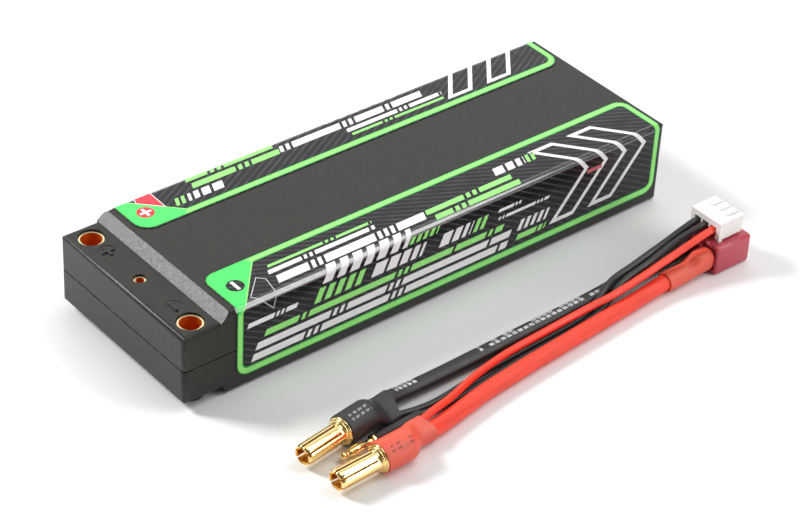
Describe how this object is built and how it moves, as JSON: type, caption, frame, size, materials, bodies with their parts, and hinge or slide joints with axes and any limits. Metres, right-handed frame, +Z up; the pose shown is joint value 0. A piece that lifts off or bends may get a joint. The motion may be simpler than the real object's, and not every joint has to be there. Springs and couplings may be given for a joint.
{
  "type": "lithium polymer battery pack",
  "caption": "Hard-case two-cell stick battery pack with top-facing bullet sockets, beside it its plug-in adapter lead with bullet plugs, a T connector and a balance connector.",
  "frame": {"origin": "bottom centre of the pack's case, on the surface that it lies on", "axes": "+X along the case away from the terminal end, +Y towards the positive side, +Z up"},
  "size_m": [0.139, 0.0894, 0.0217],
  "materials": {
    "case_plastic": "fine-grained satin",
    "cell_pouch": "laminated foil",
    "foam": "matt foam",
    "board": "glass-fibre board",
    "gold": "polished gold plate",
    "copper": "bare strip",
    "label_film": "printed gloss film",
    "black_shrink": "satin",
    "red_shrink": "satin",
    "black_silicone": "satin",
    "red_silicone": "satin",
    "red_nylon": "satin moulded",
    "white_nylon": "satin moulded"
  },
  "bodies": {
    "pack": {"lower_shell": "case_plastic", "upper_shell": "case_plastic", "cell_lower": "cell_pouch", "cell_upper": "cell_pouch", "foam_bottom": "foam", "foam_middle": "foam", "foam_top": "foam", "terminal_board": "board", "plus_socket": "gold", "minus_socket": "gold", "balance_socket": "gold", "plus_tab": "copper", "minus_tab": "copper", "series_link": "copper", "minus_label": "label_film", "plus_label": "label_film"},
    "lead": {"minus_plug": "gold", "plus_plug": "gold", "balance_plug": "gold", "minus_shrink": "black_shrink", "plus_shrink": "red_shrink", "balance_sleeve": "black_shrink", "black_wire": "black_silicone", "red_wire": "red_silicone", "zero_wire": "black_silicone", "middle_wire": "black_silicone", "full_wire": "red_silicone", "tee_housing": "red_nylon", "tee_minus_contact": "gold", "tee_plus_contact": "gold", "tee_minus_shrink": "black_shrink", "tee_plus_shrink": "red_shrink", "balance_housing": "white_nylon", "crimp_zero": "gold", "crimp_middle": "gold", "crimp_full": "gold"}
  },
  "joints": [
    {"name": "lead_lift", "type": "slide", "parent": "pack", "child": "lead", "axis": [0, 0, 1], "range_m": [0, 0.06]}
  ]
}
